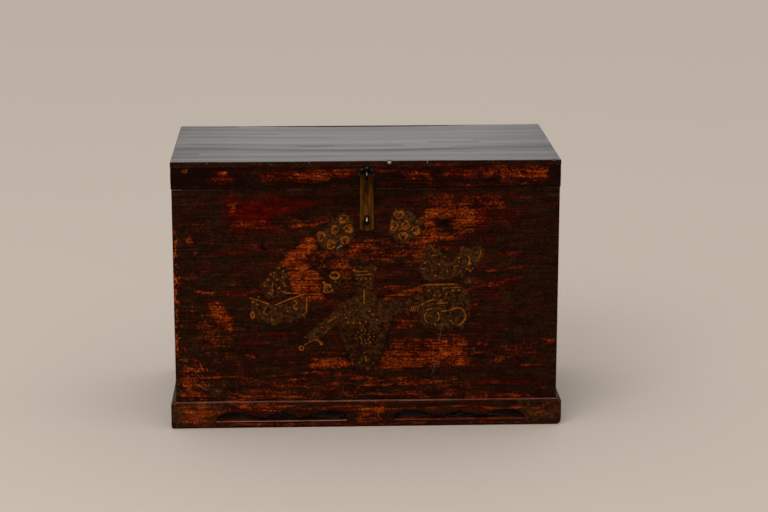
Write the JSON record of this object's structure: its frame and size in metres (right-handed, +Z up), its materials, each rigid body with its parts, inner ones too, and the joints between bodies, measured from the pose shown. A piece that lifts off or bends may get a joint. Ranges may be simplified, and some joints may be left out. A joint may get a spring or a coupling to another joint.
{
  "type": "blanket chest",
  "caption": "Rectangular lacquered wooden chest with a hinged boxed lid, a pierced plinth and a brass hasp, for storing blankets and linen.",
  "frame": {"origin": "on the floor, under the middle of the chest", "axes": "+Z up, front with the hasp towards -Y, +X to the right of someone who faces the front"},
  "size_m": [0.675, 0.3718, 0.467],
  "materials": {
    "lacquer": "worn dark brown and red lacquer",
    "bare_wood": "aged bare wood",
    "brass": "tarnished",
    "dark_bronze": "blackened",
    "iron": "dull"
  },
  "bodies": {
    "carcase": {"front_upper_board": "lacquer", "front_lower_board": "lacquer", "back_upper_board": "lacquer", "back_lower_board": "lacquer", "left_upper_board": "lacquer", "left_lower_board": "lacquer", "right_upper_board": "lacquer", "right_lower_board": "lacquer", "bottom_front_board": "bare_wood", "bottom_back_board": "bare_wood", "plinth_front_rail": "lacquer", "plinth_back_rail": "lacquer", "plinth_left_rail": "lacquer", "plinth_right_rail": "lacquer", "plinth_block_front_left": "bare_wood", "plinth_block_front_right": "bare_wood", "plinth_block_back_left": "bare_wood", "plinth_block_back_right": "bare_wood", "hasp_staple": "brass", "hinge_body_leaf_left": "brass", "hinge_body_leaf_right": "brass", "hinge_pin_left": "iron", "hinge_pin_right": "iron", "hinge_body_nail_left_1": "iron", "hinge_body_nail_left_2": "iron", "hinge_body_nail_left_3": "iron", "hinge_body_nail_right_1": "iron", "hinge_body_nail_right_2": "iron", "hinge_body_nail_right_3": "iron"},
    "lid": {"lid_top_front_board": "lacquer", "lid_top_back_board": "lacquer", "lid_front_rim": "lacquer", "lid_back_rim": "lacquer", "lid_left_rim": "lacquer", "lid_right_rim": "lacquer", "lid_batten_left": "bare_wood", "lid_batten_right": "bare_wood", "hinge_lid_leaf_left": "brass", "hinge_lid_leaf_right": "brass", "hinge_lid_nail_left_1": "iron", "hinge_lid_nail_left_2": "iron", "hinge_lid_nail_left_3": "iron", "hinge_lid_nail_right_1": "iron", "hinge_lid_nail_right_2": "iron", "hinge_lid_nail_right_3": "iron", "hasp_rosette": "dark_bronze", "hasp_eye": "brass"},
    "hasp": {"hasp_strap": "brass"}
  },
  "joints": [
    {"name": "lid_hinge", "type": "hinge", "parent": "carcase", "child": "lid", "pos_m": [0, 0.1698, 0.4197], "axis": [-1, 0, 0], "range_deg": [0, 105]},
    {"name": "hasp_swing", "type": "hinge", "parent": "lid", "child": "hasp", "pos_m": [0.0005, -0.1789, 0.4434], "axis": [-1, 0, 0], "range_deg": [0, 175]}
  ]
}
